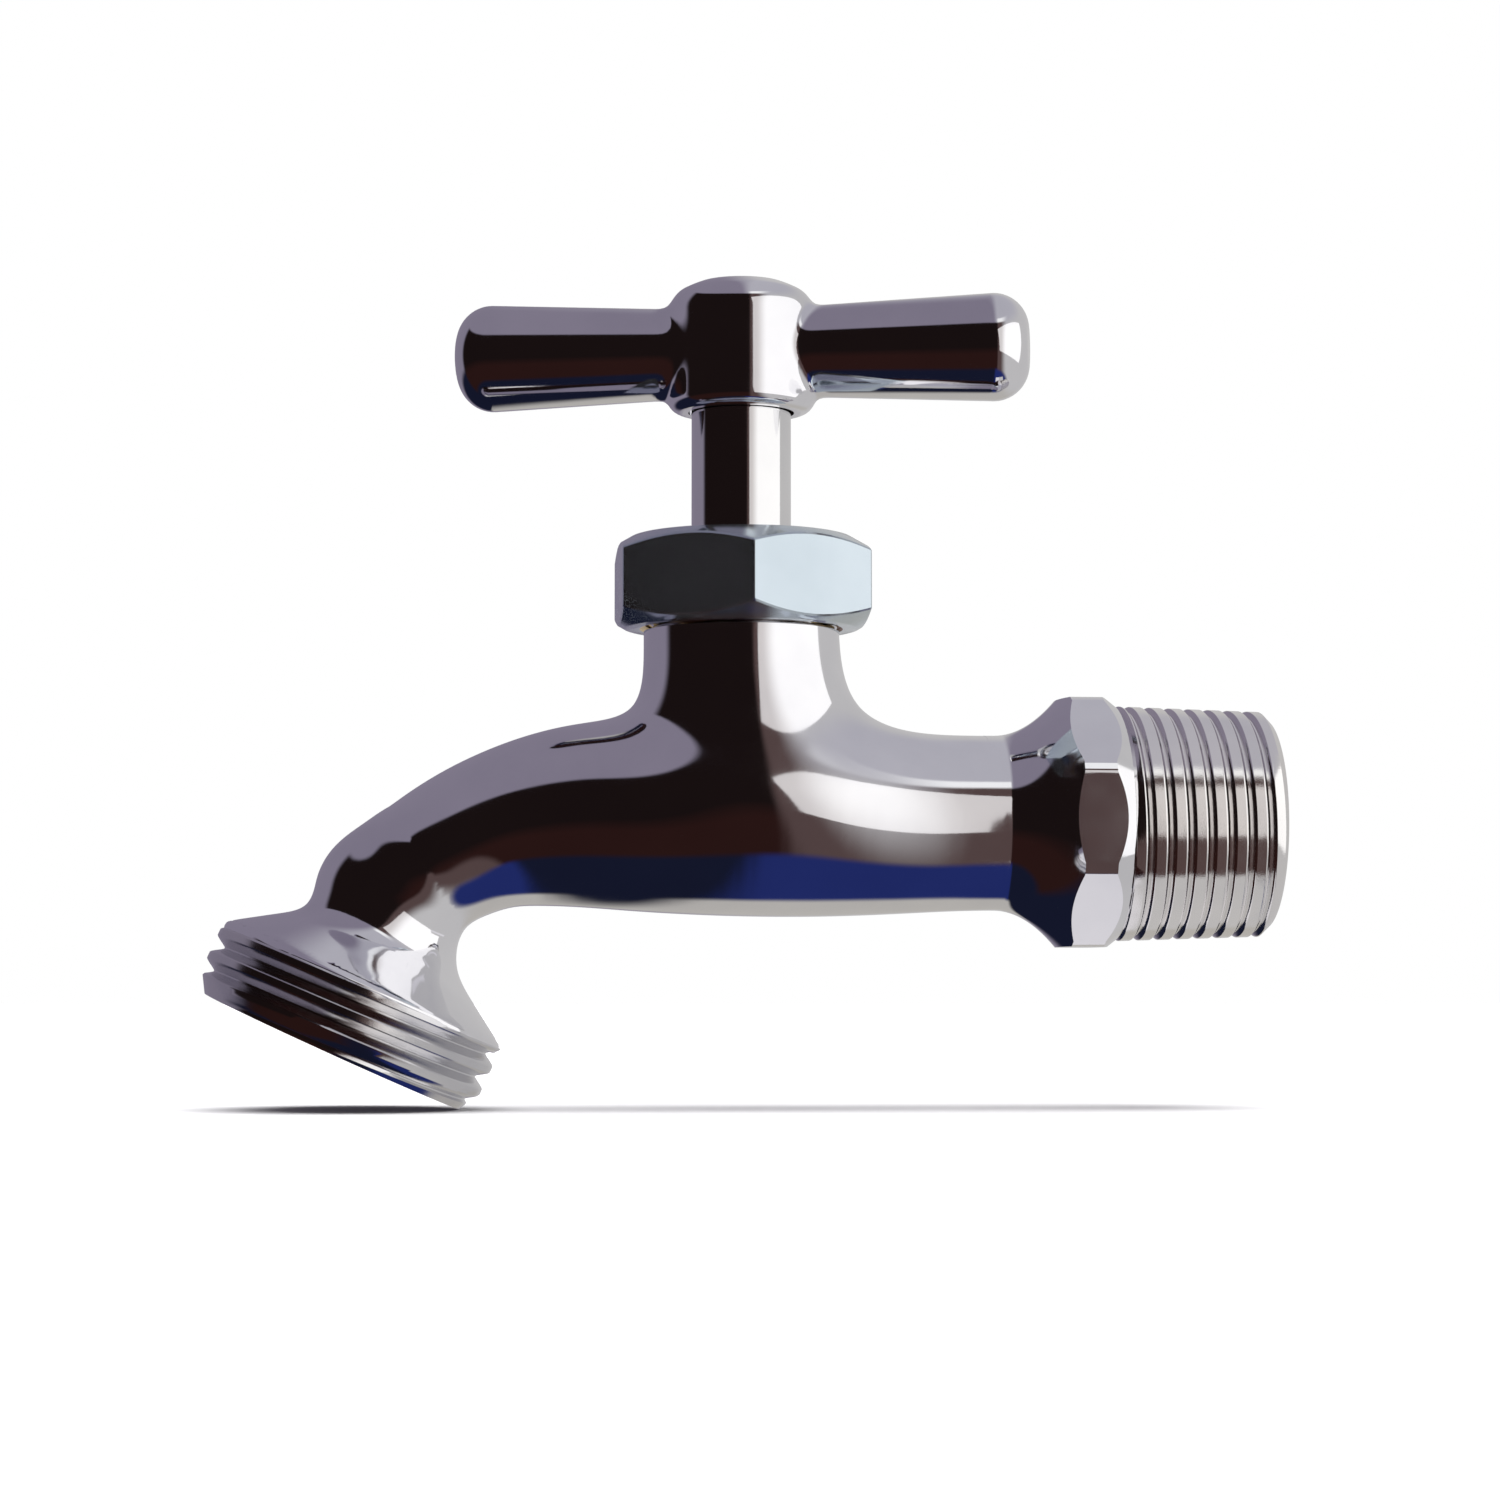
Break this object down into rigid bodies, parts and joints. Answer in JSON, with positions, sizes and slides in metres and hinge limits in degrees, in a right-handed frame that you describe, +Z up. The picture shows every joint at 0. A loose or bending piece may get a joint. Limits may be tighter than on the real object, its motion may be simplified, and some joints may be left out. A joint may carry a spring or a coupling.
{
  "type": "hose bib",
  "caption": "Chrome-plated compression hose bib: threaded inlet shank, hexagonal packing nut, rising stem with a T handle, and a turned-down spout with a hose thread.",
  "frame": {"origin": "centre of the inlet's end face, on the pipe thread's axis", "axes": "+X out of the inlet along the pipe thread, +Z up along the stem, +Y to the back"},
  "size_m": [0.096, 0.027, 0.075],
  "materials": {
    "chrome": "polished, bright",
    "nut_chrome": "polished, flat-lapped facets",
    "stem_chrome": "polished shaft",
    "brass": "machined",
    "rubber": "matte moulded",
    "packing": "compressed graphited fibre"
  },
  "bodies": {
    "casting": {"valve_body": "chrome", "seat_ring": "brass", "packing_washer_lower": "brass", "stem_packing": "packing", "packing_washer_upper": "brass", "packing_nut": "nut_chrome"},
    "disc": {"disc_holder": "brass", "seat_washer": "rubber", "washer_screw": "brass"},
    "stem": {"stem": "stem_chrome", "handle": "chrome", "handle_screw": "stem_chrome"}
  },
  "joints": [
    {"name": "stem_lift", "type": "slide", "parent": "casting", "child": "disc", "axis": [0, 0, 1], "range_m": [0, 0.0051]},
    {"name": "handle_turn", "type": "hinge", "parent": "disc", "child": "stem", "pos_m": [-0.0479, 0, 0.04], "axis": [0, 0, 1], "range_deg": [0, 720]}
  ],
  "couplings": [
    {"joint": "stem_lift", "follows": "handle_turn", "m_per_rad": 0.00040425}
  ]
}
